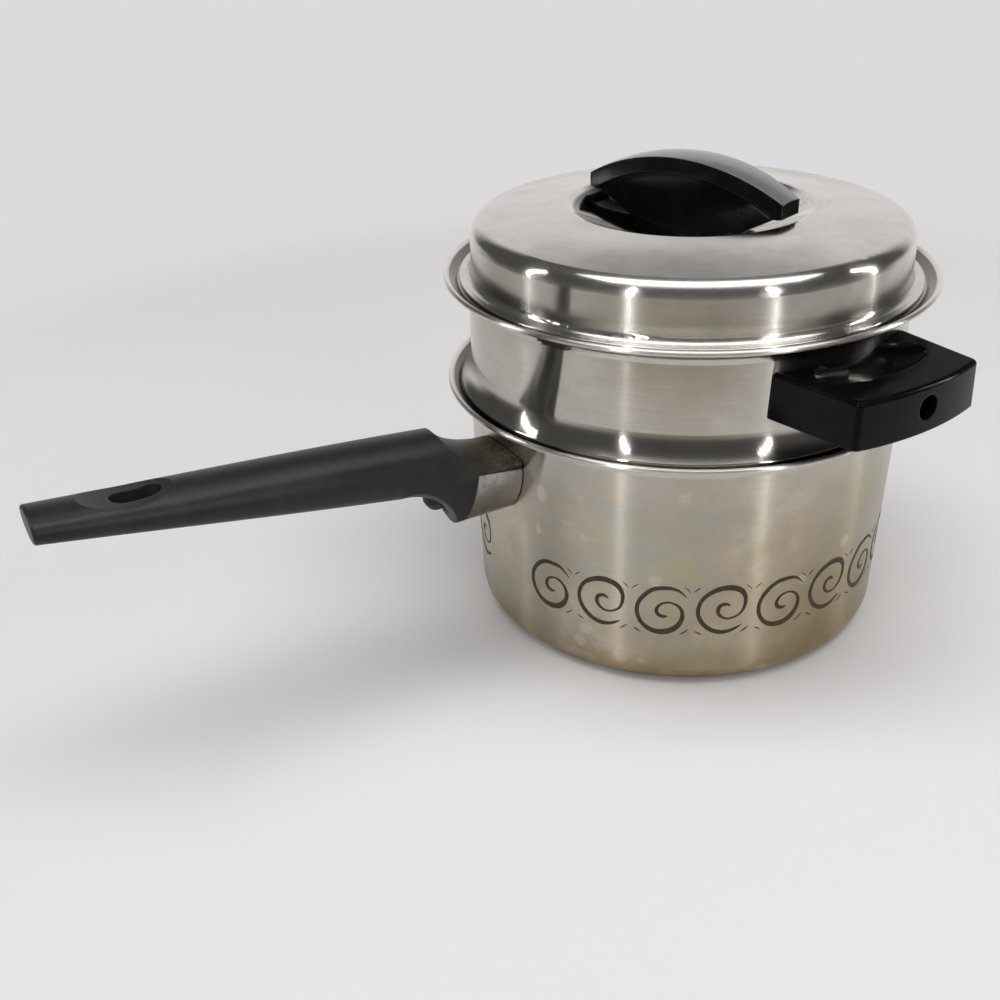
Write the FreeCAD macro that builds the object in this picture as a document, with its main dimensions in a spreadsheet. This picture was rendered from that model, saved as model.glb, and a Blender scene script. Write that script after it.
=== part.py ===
import FreeCAD, Part
import math
import os
import re
import Sketcher
from FreeCAD import Vector

# Stainless double boiler: a saucepan with a long phenolic handle, an insert pan that rests
# in the saucepan's rim, and a lid whose flange rests in the same rim form on the insert.
# Millimetres, +Z up, the pans' axis is Z and the saucepan stands on Z = 0.

os.makedirs("parts", exist_ok=True)
doc = FreeCAD.newDocument("double_boiler")
sheet = doc.addObject("Spreadsheet::Sheet", "Sizes")

# Driving sizes: alias, value, what it is
SIZES = [
    ("sheet_metal", 1.0, "wall of the drawn pans"),
    ("rim_width", 8.5, "from the pan's wall out to the rolled lip"),
    ("lip_bead", 1.0, "radius of the rolled lip"),
    ("seat_depth", 2.6, "from the lip's top down to the seat"),
    ("seat_edge", 5.0, "from the lip's outside in to the seat's outer edge"),
    ("seat_round", 1.0, "rounding where the seat falls into the bore"),
    ("seat_clearance", 0.2, "gap under a piece that rests in a seat"),
    ("pan_wall_radius", 83.5, "outside of the saucepan's wall under the rim"),
    ("pan_lip_height", 96.2, "top of the saucepan's lip"),
    ("pan_corner", 8.0, "bottom corner of the saucepan"),
    ("pan_draft", 1.6, "lean of the saucepan's wall, degrees"),
    ("insert_inset", 0.9, "insert's upper wall inside the saucepan's"),
    ("insert_rise", 41.4, "insert's lip over the saucepan's lip"),
    ("shoulder_clearance", 0.2, "gap between the shoulder's edge and the seat's outer edge"),
    ("shoulder_bead", 1.1, "rounding of the shoulder's edge"),
    ("shoulder_flare", 12.0, "hollow flare from the shoulder up to the wall"),
    ("insert_clearance", 3.5, "gap between the insert's lower wall and the saucepan's inside"),
    ("insert_depth", 58.0, "from the shoulder down to the insert's bottom"),
    ("insert_corner", 14.0, "bottom corner of the insert"),
    ("insert_draft", 1.2, "lean of the insert's lower wall, degrees"),
    ("insert_bend", 1.6, "bend from the lower wall out to the shoulder"),
    ("insert_turn", -86.4, "side handle's direction about Z, degrees"),
    ("lid_metal", 0.9, "wall of the lid"),
    ("flange_clearance", 1.0, "gap between the lid's flange and the seat's outer edge"),
    ("lid_wall_inset", 0.2, "lid's upright wall inside the insert's bore"),
    ("lid_foot_bend", 2.4, "bend from the flange up to the wall"),
    ("lid_corner_height", 15.6, "from the flange's underside to the corner's start"),
    ("lid_corner", 5.6, "rounded top corner of the lid"),
    ("lid_dome", 480.0, "radius of the lid's domed top"),
    ("dish_radius", 45.0, "edge of the finger dish in the lid"),
    ("dish_depth", 10.6, "depth of the dish if its hollow had no flat"),
    ("dish_flat", 9.0, "radius of the flat in the middle of the dish"),
    ("dish_edge_round", 2.4, "rounding of the dish's edge"),
    ("knob_turn", -72.5, "direction of the knob's length about Z, degrees"),
    ("knob_end_inset", 3.4, "knob's end inside the dish's edge"),
    ("knob_half_width", 7.9, "half the knob's width in the middle"),
    ("knob_tip", 5.6, "half the width of the knob's blunt end"),
    ("knob_arch", 82.0, "radius of the arched top along the knob"),
    ("knob_crown", 38.0, "radius of the top across the knob"),
    ("knob_rise", 17.6, "top of the knob over the dish's edge"),
    ("knob_band", 6.2, "from the crest down to the lower edge of the leaf"),
    ("knob_web", 4.4, "half the thickness of the web under the leaf"),
    ("knob_web_round", 2.0, "hollow between the web and the leaf"),
    ("knob_end_lift", 0.8, "gap between the knob's end and the lid"),
    ("knob_haunch_inset", 7.2, "underside's start down into the dish, inside the dish's edge"),
    ("knob_foot_inset", 21.0, "foot's end inside the dish's edge"),
    ("knob_dish_gap", 0.3, "gap between the foot and the dish's hollow"),
    ("lid_nut_radius", 3.6, "outside of the threaded insert in the knob"),
    ("lid_nut_length", 10.0, "length of the threaded insert in the knob"),
    ("lid_screw_shank", 2.4, "radius of the lid screw"),
    ("lid_screw_reach", 8.0, "length of the lid screw inside the knob"),
    ("lid_screw_head", 4.6, "radius of the lid screw's head"),
    ("lid_screw_head_height", 2.6, "height of the lid screw's head"),
    ("lid_washer_radius", 7.5, "outside of the washer under the lid"),
    ("washer_thickness", 1.0, "thickness of the plain washers"),
    ("screw_clearance", 0.3, "gap round a screw in its hole"),
    ("fit_gap", 0.1, "gap between pieces fixed to each other"),
    ("wall_gap", 0.3, "gap between a handle piece and a pan's wall"),
    ("handle_turn", 180.0, "direction of the long handle about Z, degrees"),
    ("handle_length", 165.2, "length of the long handle from the pan's wall"),
    ("neck_reach", 41.6, "neck of the grip from the pan's wall"),
    ("handle_drop", 9.5, "grip's middle line at the neck, below the saucepan's lip"),
    ("handle_rise", 7.4, "slope of the grip's middle line, degrees"),
    ("grip_root_width", 13.2, "half width of the grip at the pan"),
    ("grip_root_depth", 12.6, "half depth of the grip at the pan"),
    ("grip_neck_width", 13.0, "half width at the neck"),
    ("grip_neck_depth", 11.5, "half depth at the neck"),
    ("grip_palm_width", 12.5, "half width at the palm"),
    ("grip_palm_depth", 10.2, "half depth at the palm"),
    ("grip_waist_width", 11.5, "half width before the hanging hole"),
    ("grip_waist_depth", 7.8, "half depth before the hanging hole"),
    ("grip_end_width", 9.8, "half width at the end"),
    ("grip_end_depth", 5.3, "half depth at the end"),
    ("grip_end_round", 0.9, "rounding of the grip's end"),
    ("collar_width", 13.3, "half width of the collar at the pan"),
    ("collar_depth", 28.4, "lowest line of the collar under the grip's middle line at the neck"),
    ("collar_reach", 22.4, "sharp lip of the collar from the pan's wall"),
    ("collar_drop", 2.3, "mould line of the collar below the grip's middle line"),
    ("underside_bend", 24.0, "hollow under the grip behind the collar"),
    ("underside_crown", 17.0, "round of that hollow's floor across the handle"),
    ("scoop_radius", 37.5, "thumb scoop over the collar, along the handle"),
    ("scoop_rise", 4.8, "lowest line of the thumb scoop over the flame guard"),
    ("scoop_crown", 46.0, "crown of the thumb scoop's floor across the handle"),
    ("hang_hole_inset", 33.0, "hanging hole's middle from the handle's end"),
    ("hang_hole_length", 16.5, "length of the hanging hole"),
    ("hang_hole_width", 8.4, "width of the hanging hole"),
    ("hang_recess", 2.4, "depth of the recess round the hanging hole"),
    ("hang_recess_radius", 46.0, "hollow of the recess round the hanging hole"),
    ("guard_metal", 0.8, "sheet of the flame guard"),
    ("guard_reach", 16.9, "length of the flame guard from the pan's wall"),
    ("bracket_metal", 2.0, "sheet of the welded handle bracket"),
    ("bracket_half_angle", 5.6, "half the bracket's spread on the wall, degrees"),
    ("bracket_drop", 7.6, "lower edge of the bracket's plate under its tang"),
    ("tang_drop", 3.9, "underside of the bracket's tang under the flame guard's upper edge"),
    ("tang_thickness", 3.0, "thickness of the tang"),
    ("tang_width", 7.0, "half width of the tang"),
    ("tang_reach", 34.1, "end of the tang from the pan's wall"),
    ("handle_screw_reach", 28.2, "handle screw from the pan's wall"),
    ("handle_screw_shank", 2.4, "radius of the handle screw"),
    ("handle_screw_head", 3.6, "radius of the handle screw's head"),
    ("handle_screw_head_height", 1.8, "height of the handle screw's head"),
    ("handle_boss_radius", 4.7, "boss and spot face that take the handle screw"),
    ("handle_boss_depth", 6.0, "length of that boss under the tang"),
    ("side_grip_drop", 28.1, "underside of the side handle below the insert's lip"),
    ("side_grip_height", 16.2, "height of the side handle"),
    ("side_grip_length", 27.6, "outer corners of the side handle from the insert's wall"),
    ("side_grip_bow", 3.8, "bow of the side handle's outer face"),
    ("side_grip_root", 32.4, "half width of the side handle at the pan"),
    ("side_grip_tip", 29.0, "half width of the side handle's outer face"),
    ("side_grip_draft", 2.0, "draft of the side handle's upright faces, degrees"),
    ("side_grip_corner", 2.6, "rounded upright corners of the side handle"),
    ("side_grip_edge", 1.6, "rounded top edge of the side handle"),
    ("finger_reach", 7.6, "middle of the finger hollow from the insert's wall"),
    ("finger_length", 24.5, "half length of the finger hollow"),
    ("finger_width", 10.6, "half width of the finger hollow"),
    ("finger_depth", 4.2, "depth of the finger hollow"),
    ("side_screw_rise", 8.3, "side handle's screw over its underside"),
    ("side_screw_shank", 2.4, "radius of the side handle's screw"),
    ("side_screw_head", 3.6, "radius of its head"),
    ("side_screw_head_height", 2.6, "height of its head"),
    ("side_bore_radius", 4.3, "counterbore for the side handle's screw"),
    ("side_bore_depth", 9.0, "depth of that counterbore from the outer corners"),
    ("stud_radius", 3.0, "welded threaded stud on the insert's wall"),
    ("stud_length", 5.4, "length of the stud from the insert's wall"),
    ("stud_plate_half_angle", 7.0, "half the stud plate's spread, degrees"),
    ("stud_plate_margin", 0.6, "stud plate's edge above and below the stud"),
    ("stud_plate_metal", 1.5, "sheet of the stud plate"),
]
for row, (alias, number, meaning) in enumerate(SIZES, start=1):
    sheet.set("A%d" % row, meaning)
    sheet.set("B%d" % row, str(number))
    sheet.setAlias("B%d" % row, alias)
doc.recompute()

# Lengths that follow from the driving sizes, written in the same words
DERIVED = {
    "lip_radius": "(pan_wall_radius + rim_width)",
    "insert_wall_radius": "(pan_wall_radius - insert_inset)",
    "insert_lip_height": "(pan_lip_height + insert_rise)",
    "shoulder_radius": "(lip_radius - seat_edge - shoulder_clearance)",
    "insert_lower_radius": "(pan_wall_radius - sheet_metal - insert_clearance)",
    "lid_flange_radius": "(lip_radius - seat_edge - flange_clearance)",
    "lid_wall_radius": "(insert_wall_radius - sheet_metal - lid_wall_inset)",
    "pan_seat": "(pan_lip_height - seat_depth)",
    "pan_rim_bend": "(lip_radius - seat_edge + 0.2 * sheet_metal - pan_wall_radius)",
    "pan_bend_low": "(pan_seat - sheet_metal - pan_rim_bend)",
    "pan_base_radius": "(pan_wall_radius - pan_corner * cos(pan_draft)"
                       " - (pan_bend_low - pan_corner * (1 - sin(pan_draft))) * tan(pan_draft))",
    "shoulder": "(pan_seat + seat_clearance)",
    "insert_seat": "(insert_lip_height - seat_depth)",
    "insert_rim_bend": "(lip_radius - seat_edge + 0.2 * sheet_metal - insert_wall_radius)",
    "insert_bottom": "(shoulder - insert_depth)",
    "flare_reach": "(insert_wall_radius + shoulder_flare - shoulder_radius + shoulder_bead)",
    "flare_rise": "sqrt((shoulder_flare + shoulder_bead)^2 - flare_reach^2)",
    "flare_top": "(shoulder + shoulder_bead + flare_rise)",
    "flare_share": "(shoulder_bead / (shoulder_flare + shoulder_bead))",
    "insert_base_radius": "(insert_lower_radius - insert_corner * cos(insert_draft)"
                          " - (insert_depth - insert_bend - insert_corner * (1 - sin(insert_draft)))"
                          " * tan(insert_draft))",
    "lid_foot": "(insert_seat + seat_clearance)",
    "lid_corner_low": "(lid_foot + lid_corner_height)",
    "dome_centre": "(lid_corner_low - sqrt((lid_dome - lid_corner)^2 - (lid_wall_radius - lid_corner)^2))",
    "dome_share": "(lid_dome / (lid_dome - lid_corner))",
    "dish_ball": "((dish_radius^2 + dish_depth^2) / (2 * dish_depth))",
    "dish_edge": "(dome_centre + sqrt(lid_dome^2 - dish_radius^2))",
    "dish_centre": "(dish_edge + sqrt(dish_ball^2 - dish_radius^2))",
    "dish_floor": "(dish_centre - sqrt(dish_ball^2 - dish_flat^2))",
    "under_edge_height": "(((lid_dome - lid_metal)^2 - (dish_ball + lid_metal)^2"
                         " + dish_centre^2 - dome_centre^2) / (2 * (dish_centre - dome_centre)))",
    "under_edge_radius": "sqrt((lid_dome - lid_metal)^2 - (under_edge_height - dome_centre)^2)",
    "under_flat": "sqrt((dish_ball + lid_metal)^2 - (dish_centre - dish_floor + lid_metal)^2)",
    "lid_hole": "(lid_screw_shank + screw_clearance)",
    "knob_half_length": "(dish_radius - knob_end_inset)",
    "knob_haunch": "(dish_radius - knob_haunch_inset)",
    "knob_foot": "(dish_radius - knob_foot_inset)",
    "knob_top": "(dish_edge + knob_rise)",
    "knob_arch_centre": "(knob_top - knob_arch)",
    "knob_side_arc": "((knob_half_length^2 + (knob_half_width - knob_tip)^2)"
                     " / (2 * (knob_half_width - knob_tip)))",
    "knob_foot_height": "(dish_centre - sqrt((dish_ball - knob_dish_gap)^2 - knob_foot^2))",
    "knob_floor": "(dish_centre - sqrt((dish_ball - knob_dish_gap)^2 - dish_flat^2))",
    "knob_end_height": "(dish_edge + knob_end_lift)",
    "handle_height": "(pan_lip_height - handle_drop)",
    "handle_root": "(pan_wall_radius - (pan_bend_low - handle_height) * tan(pan_draft))",
    "handle_neck": "(handle_root + neck_reach)",
    "handle_end": "(handle_root + handle_length)",
    "grip_slope": "tan(handle_rise)",
    "collar_length": "(handle_root + collar_reach)",
    "collar_bottom": "(handle_height - collar_depth)",
    "guard_top": "(handle_height - collar_drop - neck_reach * grip_slope)",
    "scoop_floor": "(guard_top + scoop_rise)",
    "hang_hole_place": "(handle_end - hang_hole_inset)",
    "guard_length": "(handle_root + guard_reach)",
    "tang_bottom": "(guard_top - tang_drop)",
    "tang_top": "(tang_bottom + tang_thickness)",
    "tang_end": "(handle_root + tang_reach)",
    "bracket_low": "(tang_bottom - bracket_drop)",
    "handle_screw_place": "(handle_root + handle_screw_reach)",
    "handle_boss_face": "(tang_bottom - handle_boss_depth)",
    "side_grip_bottom": "(insert_lip_height - side_grip_drop)",
    "side_grip_top": "(side_grip_bottom + side_grip_height)",
    "side_grip_reach": "(insert_wall_radius + side_grip_length)",
    "side_arc": "((side_grip_tip^2 + side_grip_bow^2) / (2 * side_grip_bow))",
    "finger_place": "(insert_wall_radius + finger_reach)",
    "side_screw_height": "(side_grip_bottom + side_screw_rise)",
    "side_bore_floor": "(side_grip_reach - side_bore_depth)",
    "stud_end": "(insert_wall_radius + stud_length)",
    "stud_plate_half_height": "(stud_radius + stud_plate_margin)",
}
ALIASES = {alias for alias, number, meaning in SIZES}


def formula(text):
    """The expression for a formula written in the sheet's words."""
    def word(found):
        name = found.group()
        if name in DERIVED:
            return formula(DERIVED[name])
        return "Sizes." + name if name in ALIASES else name
    return re.sub(r"[a-z]\w*", word, text)


def number(text):
    """The present value of a formula."""
    result = sheet.evalExpression(formula(text))
    return float(getattr(result, "Value", result))


def pan_wall(height):
    """Formula of the saucepan's outside radius at a height."""
    return "(pan_wall_radius - (pan_bend_low - (%s)) * tan(pan_draft))" % height


def new_body(label, turn=None, height=None, along=None):
    """A body with its label, turned about Z and moved along Z or along its own X."""
    body = doc.addObject("PartDesign::Body", label)
    body.Label = label
    if turn:
        body.setExpression("Placement.Rotation.Angle", formula(turn))
    if height:
        body.setExpression("Placement.Base.z", formula(height))
    if along:
        body.setExpression("Placement.Base.x", formula("%s * cos(%s)" % (along, turn)))
        body.setExpression("Placement.Base.y", formula("%s * sin(%s)" % (along, turn)))
    return body


def new_sketch(body, name, plane, out=None, up=None):
    """A sketch on one of the body's own planes, moved out along its normal or up in it."""
    sketch = body.newObject("Sketcher::SketchObject", name)
    planes = {item.Role: item for item in body.Origin.OriginFeatures}
    sketch.AttachmentSupport = [(planes[plane], "")]
    sketch.MapMode = "FlatFace"
    if out:
        sketch.setExpression("AttachmentOffset.Base.z", formula(out))
    if up:
        sketch.setExpression("AttachmentOffset.Base.y", formula(up))
    return sketch


def drive(sketch, constraint, text):
    """Adds a measured constraint and binds it to a formula."""
    index = sketch.addConstraint(constraint)
    sketch.setExpression("Constraints[%d]" % index, formula(text))


def hold_point(sketch, edge, end, across, up):
    """Places one end of an edge by formulas."""
    if across == "0":
        sketch.addConstraint(Sketcher.Constraint("PointOnObject", edge, end, -2))
    else:
        drive(sketch, Sketcher.Constraint("DistanceX", -1, 1, edge, end, number(across)), across)
    if up == "0":
        sketch.addConstraint(Sketcher.Constraint("PointOnObject", edge, end, -1))
    else:
        drive(sketch, Sketcher.Constraint("DistanceY", -1, 1, edge, end, number(up)), up)


def arc_through(start, end, radius, turn):
    """An arc from start to end; turn 1 is counter-clockwise, -1 clockwise, 2 the long way round."""
    chord = end - start
    side = Vector(-chord.y, chord.x, 0).normalize()
    rise = math.sqrt(max(radius ** 2 - chord.Length ** 2 / 4, 0))
    centre = (start + end) * 0.5 + side * rise * {1: 1, -1: -1, 2: -1}[turn]
    first, last = (start, end) if turn > 0 else (end, start)
    angles = [math.atan2(p.y - centre.y, p.x - centre.x) for p in (first, last)]
    if angles[1] <= angles[0]:
        angles[1] += 2 * math.pi
    circle = Part.Circle(centre, Vector(0, 0, 1), radius)
    return Part.ArcOfCircle(circle, angles[0], angles[1])


def draw_outline(sketch, corners):
    """A closed outline. A corner is (across, up), or (across, up, radius, turn) where the
    stretch to the next corner is an arc."""
    places = [Vector(number(c[0]), number(c[1]), 0) for c in corners]
    ends = []
    edges = []
    for here, corner in enumerate(corners):
        start = places[here]
        end = places[(here + 1) % len(corners)]
        if len(corner) == 2:
            edges.append(sketch.addGeometry(Part.LineSegment(start, end)))
            ends.append((1, 2))
        else:
            edges.append(sketch.addGeometry(arc_through(start, end, number(corner[2]), corner[3])))
            ends.append((1, 2) if corner[3] > 0 else (2, 1))
    for here, corner in enumerate(corners):
        after = (here + 1) % len(corners)
        sketch.addConstraint(Sketcher.Constraint(
            "Coincident", edges[here], ends[here][1], edges[after], ends[after][0]))
        hold_point(sketch, edges[here], ends[here][0], corner[0], corner[1])
        if len(corner) > 2:
            drive(sketch, Sketcher.Constraint("Radius", edges[here], number(corner[2])), corner[2])


def draw_circle(sketch, across, up, radius):
    """A circle placed and sized by formulas."""
    centre = Vector(number(across), number(up), 0)
    edge = sketch.addGeometry(Part.Circle(centre, Vector(0, 0, 1), number(radius)))
    hold_point(sketch, edge, 3, across, up)
    drive(sketch, Sketcher.Constraint("Radius", edge, number(radius)), radius)


def box_outline(left, low, right, high):
    """Corners of an upright rectangle."""
    return [(left, low), (right, low), (right, high), (left, high)]


def revolve(body, sketch, axis="V_Axis", kind="Revolution", angle=None):
    """Turns a sketch about one of its own axes, all round or evenly to both sides."""
    feature = body.newObject("PartDesign::" + kind, sketch.Name + "_turned")
    feature.Profile = sketch
    feature.ReferenceAxis = (sketch, [axis])
    feature.Angle = 360
    if angle:
        feature.Midplane = True
        feature.setExpression("Angle", formula(angle))
    return feature


def extrude(body, sketch, length, kind="Pad", both=False, reverse=False):
    """Pushes a sketch along its normal, or evenly to both sides of its plane."""
    feature = body.newObject("PartDesign::" + kind, sketch.Name + "_pushed")
    feature.Profile = sketch
    feature.setExpression("Length", formula(length))
    if both:
        feature.SideType = "Symmetric"
    feature.Reversed = reverse
    return feature


def round_edges(body, name, radius, chosen):
    """Rounds the edges of the body's present shape that the chosen test picks."""
    doc.recompute()
    tip = body.Tip
    names = ["Edge%d" % (i + 1) for i, edge in enumerate(tip.Shape.Edges) if chosen(edge)]
    fillet = body.newObject("PartDesign::Fillet", name)
    fillet.Base = (tip, names)
    fillet.setExpression("Radius", formula(radius))
    return fillet


def middle(edge):
    """The point halfway along an edge."""
    return edge.valueAt((edge.FirstParameter + edge.LastParameter) / 2)


# The rim that both pans share: bend out of the wall, seat, sloped trough wall and rolled lip
def rim_corners(wall, lip_height, seat, bend):
    return [
        (wall, "%s - sheet_metal - %s" % (seat, bend), bend, -1),
        ("%s + %s" % (wall, bend), seat + " - sheet_metal"),
        ("lip_radius - seat_edge + 0.4 * sheet_metal", seat + " - sheet_metal"),
        ("lip_radius - lip_bead", lip_height + " - 2 * lip_bead", "lip_bead", 2),
        ("lip_radius - lip_bead * (1 + cos(30))", lip_height + " - lip_bead * (1 - sin(30))"),
        ("lip_radius - seat_edge", seat),
        (wall + " - sheet_metal + seat_round", seat, "seat_round", 1),
        (wall + " - sheet_metal", seat + " - seat_round"),
    ]


def make_saucepan():
    body = new_body("saucepan_body")
    profile = new_sketch(body, "saucepan_profile", "XZ_Plane")
    draw_outline(profile, [
        ("0", "0"),
        ("pan_base_radius", "0", "pan_corner", 1),
        ("pan_base_radius + pan_corner * cos(pan_draft)", "pan_corner * (1 - sin(pan_draft))"),
        *rim_corners("pan_wall_radius", "pan_lip_height", "pan_seat", "pan_rim_bend"),
        ("pan_base_radius + (pan_corner - sheet_metal) * cos(pan_draft)",
         "pan_corner - (pan_corner - sheet_metal) * sin(pan_draft)", "pan_corner - sheet_metal", -1),
        ("pan_base_radius", "sheet_metal"),
        ("0", "sheet_metal"),
    ])
    revolve(body, profile)
    return body


def make_insert():
    body = new_body("insert_body", turn="insert_turn")
    profile = new_sketch(body, "insert_profile", "XZ_Plane")
    draw_outline(profile, [
        ("0", "insert_bottom"),
        ("insert_base_radius", "insert_bottom", "insert_corner", 1),
        ("insert_base_radius + insert_corner * cos(insert_draft)",
         "insert_bottom + insert_corner * (1 - sin(insert_draft))"),
        ("insert_lower_radius", "shoulder - insert_bend", "insert_bend", -1),
        ("insert_lower_radius + insert_bend", "shoulder"),
        ("shoulder_radius - shoulder_bead", "shoulder", "shoulder_bead", 1),
        ("shoulder_radius - shoulder_bead + flare_reach * flare_share",
         "shoulder + shoulder_bead + flare_rise * flare_share", "shoulder_flare", -1),
        ("insert_wall_radius", "flare_top"),
        *rim_corners("insert_wall_radius", "insert_lip_height", "insert_seat", "insert_rim_bend"),
        ("insert_wall_radius - sheet_metal", "flare_top", "shoulder_flare + sheet_metal", 1),
        ("insert_wall_radius + shoulder_flare - sqrt((shoulder_flare + sheet_metal)^2"
         " - (flare_top - shoulder - sheet_metal)^2)", "shoulder + sheet_metal"),
        ("insert_lower_radius + insert_bend", "shoulder + sheet_metal",
         "insert_bend + sheet_metal", 1),
        ("insert_lower_radius - sheet_metal", "shoulder - insert_bend"),
        ("insert_base_radius + (insert_corner - sheet_metal) * cos(insert_draft)",
         "insert_bottom + insert_corner - (insert_corner - sheet_metal) * sin(insert_draft)",
         "insert_corner - sheet_metal", -1),
        ("insert_base_radius", "insert_bottom + sheet_metal"),
        ("0", "insert_bottom + sheet_metal"),
    ])
    revolve(body, profile)
    return body


def make_lid():
    body = new_body("lid_shell")
    profile = new_sketch(body, "lid_profile", "XZ_Plane")
    inner_corner = "(lid_corner - lid_metal)"
    inner_dome = "((lid_dome - lid_metal) / (lid_dome - lid_corner))"
    draw_outline(profile, [
        ("lid_flange_radius - 0.3 * lid_metal", "lid_foot", "0.6 * lid_metal", 1),
        ("lid_flange_radius - 0.3 * lid_metal", "lid_foot + lid_metal"),
        ("lid_wall_radius + lid_foot_bend", "lid_foot + lid_metal", "lid_foot_bend", -1),
        ("lid_wall_radius", "lid_foot + lid_metal + lid_foot_bend"),
        ("lid_wall_radius", "lid_corner_low", "lid_corner", 1),
        ("(lid_wall_radius - lid_corner) * dome_share",
         "dome_centre + (lid_corner_low - dome_centre) * dome_share", "lid_dome", 1),
        ("dish_radius", "dish_edge", "dish_ball", -1),
        ("dish_flat", "dish_floor"),
        ("lid_hole", "dish_floor"),
        ("lid_hole", "dish_floor - lid_metal"),
        ("under_flat", "dish_floor - lid_metal", "dish_ball + lid_metal", 1),
        ("under_edge_radius", "under_edge_height", "lid_dome - lid_metal", -1),
        ("(lid_wall_radius - lid_corner) * " + inner_dome,
         "dome_centre + (lid_corner_low - dome_centre) * " + inner_dome, inner_corner, -1),
        ("lid_wall_radius - lid_metal", "lid_corner_low"),
        ("lid_wall_radius - lid_metal", "lid_foot + lid_metal + lid_foot_bend",
         "lid_foot_bend + lid_metal", 1),
        ("lid_wall_radius + lid_foot_bend", "lid_foot"),
    ])
    revolve(body, profile)

    def dish_rim(edge):
        ring = edge.Curve
        return isinstance(ring, Part.Circle) and abs(ring.Radius - number("dish_radius")) < 0.01
    round_edges(body, "dish_rim_rounding", "dish_edge_round", dish_rim)
    return body


def make_knob():
    body = new_body("lid_knob", turn="knob_turn")
    section = new_sketch(body, "knob_section", "YZ_Plane", up="knob_arch_centre")
    half = "(knob_half_width + 2)"
    crown_drop = "(knob_crown - sqrt(knob_crown^2 - %s^2))" % half
    draw_outline(section, [
        (half, "knob_arch - " + crown_drop, "knob_crown", 1),
        ("-" + half, "knob_arch - " + crown_drop),
        ("-" + half, "knob_floor - knob_arch_centre - 4"),
        (half, "knob_floor - knob_arch_centre - 4"),
    ])
    revolve(body, section, "H_Axis", angle="2 * asin(knob_half_length / knob_arch) + 8 deg")

    underside = new_sketch(body, "knob_underside", "XZ_Plane")
    far = "(knob_half_length + 10)"
    draw_outline(underside, [
        ("-" + far, "knob_end_height - 60"),
        (far, "knob_end_height - 60"),
        (far, "knob_end_height"),
        ("knob_half_length", "knob_end_height"),
        ("knob_haunch", "dish_edge"),
        ("knob_foot", "knob_foot_height", "dish_ball - knob_dish_gap", -1),
        ("dish_flat", "knob_floor"),
        ("dish_flat", "dish_floor + fit_gap"),
        ("-dish_flat", "dish_floor + fit_gap"),
        ("-dish_flat", "knob_floor", "dish_ball - knob_dish_gap", -1),
        ("-knob_foot", "knob_foot_height"),
        ("-knob_haunch", "dish_edge"),
        ("-knob_half_length", "knob_end_height"),
        ("-" + far, "knob_end_height"),
    ])
    extrude(body, underside, "4 * knob_half_width", "Pocket", both=True)

    leaf = new_sketch(body, "knob_leaf", "XY_Plane", out="dish_floor - 5")
    draw_outline(leaf, box_outline("-" + far, "-3 * knob_half_width", far, "3 * knob_half_width"))
    draw_outline(leaf, [
        ("knob_half_length", "-knob_tip"),
        ("knob_half_length", "knob_tip", "knob_side_arc", 1),
        ("-knob_half_length", "knob_tip"),
        ("-knob_half_length", "-knob_tip", "knob_side_arc", 1),
    ])
    extrude(body, leaf, "knob_top - dish_floor + 20", "Pocket", reverse=True)

    hollows = new_sketch(body, "knob_hollows", "YZ_Plane", up="knob_arch_centre")
    band_low = "knob_arch - knob_band"
    wide = "(knob_half_width + 6)"
    draw_outline(hollows, [
        ("knob_web", "1"),
        (wide, "1"),
        (wide, band_low),
        ("knob_web + knob_web_round", band_low, "knob_web_round", 1),
        ("knob_web", band_low + " - knob_web_round"),
    ])
    draw_outline(hollows, [
        ("-knob_web", "1"),
        ("-knob_web", band_low + " - knob_web_round", "knob_web_round", 1),
        ("-knob_web - knob_web_round", band_low),
        ("-" + wide, band_low),
        ("-" + wide, "1"),
    ])
    revolve(body, hollows, "H_Axis", "Groove", angle="140")

    socket = new_sketch(body, "knob_socket", "XZ_Plane")
    draw_outline(socket, box_outline("0", "dish_floor - 1", "lid_nut_radius + fit_gap",
                                     "dish_floor + 2 * fit_gap + lid_nut_length"))
    revolve(body, socket, kind="Groove")
    return body


def make_turned(label, corners, turn=None, height=None, along=None, axis="V_Axis"):
    """A turned piece: screws, washers and threaded inserts."""
    body = new_body(label, turn=turn, height=height, along=along)
    profile = new_sketch(body, label + "_profile", "XZ_Plane")
    draw_outline(profile, corners)
    revolve(body, profile, axis)
    return body


def make_lid_fixings():
    washer_top = "dish_floor - lid_metal - fit_gap"
    head_top = "(%s - washer_thickness - fit_gap)" % washer_top
    nut_low = "(dish_floor + fit_gap)"
    return [
        make_turned("knob_insert", box_outline(
            "lid_screw_shank + fit_gap", nut_low, "lid_nut_radius", nut_low + " + lid_nut_length"),
            turn="knob_turn"),
        make_turned("lid_washer", box_outline(
            "lid_hole", washer_top + " - washer_thickness", "lid_washer_radius", washer_top)),
        make_turned("lid_screw", [
            ("0", head_top + " - lid_screw_head_height"),
            ("lid_screw_head * 0.7", head_top + " - lid_screw_head_height",
             "lid_screw_head_height * 1.4", 1),
            ("lid_screw_head", head_top),
            ("lid_screw_shank", head_top),
            ("lid_screw_shank", "dish_floor + lid_screw_reach"),
            ("0", "dish_floor + lid_screw_reach"),
        ]),
    ]


def oval_radii(half_width, half_depth):
    """Radii of a four-arc oval: the side arcs and the arcs over its top and bottom."""
    side = "(%s * (0.4 + 0.6 * %s / %s))" % (half_depth, half_depth, half_width)
    broad = "((%s^2 + %s^2 - 2 * %s * %s) / (2 * (%s - %s)))" % (
        half_width, half_depth, half_width, side, half_depth, side)
    return side, broad


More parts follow.
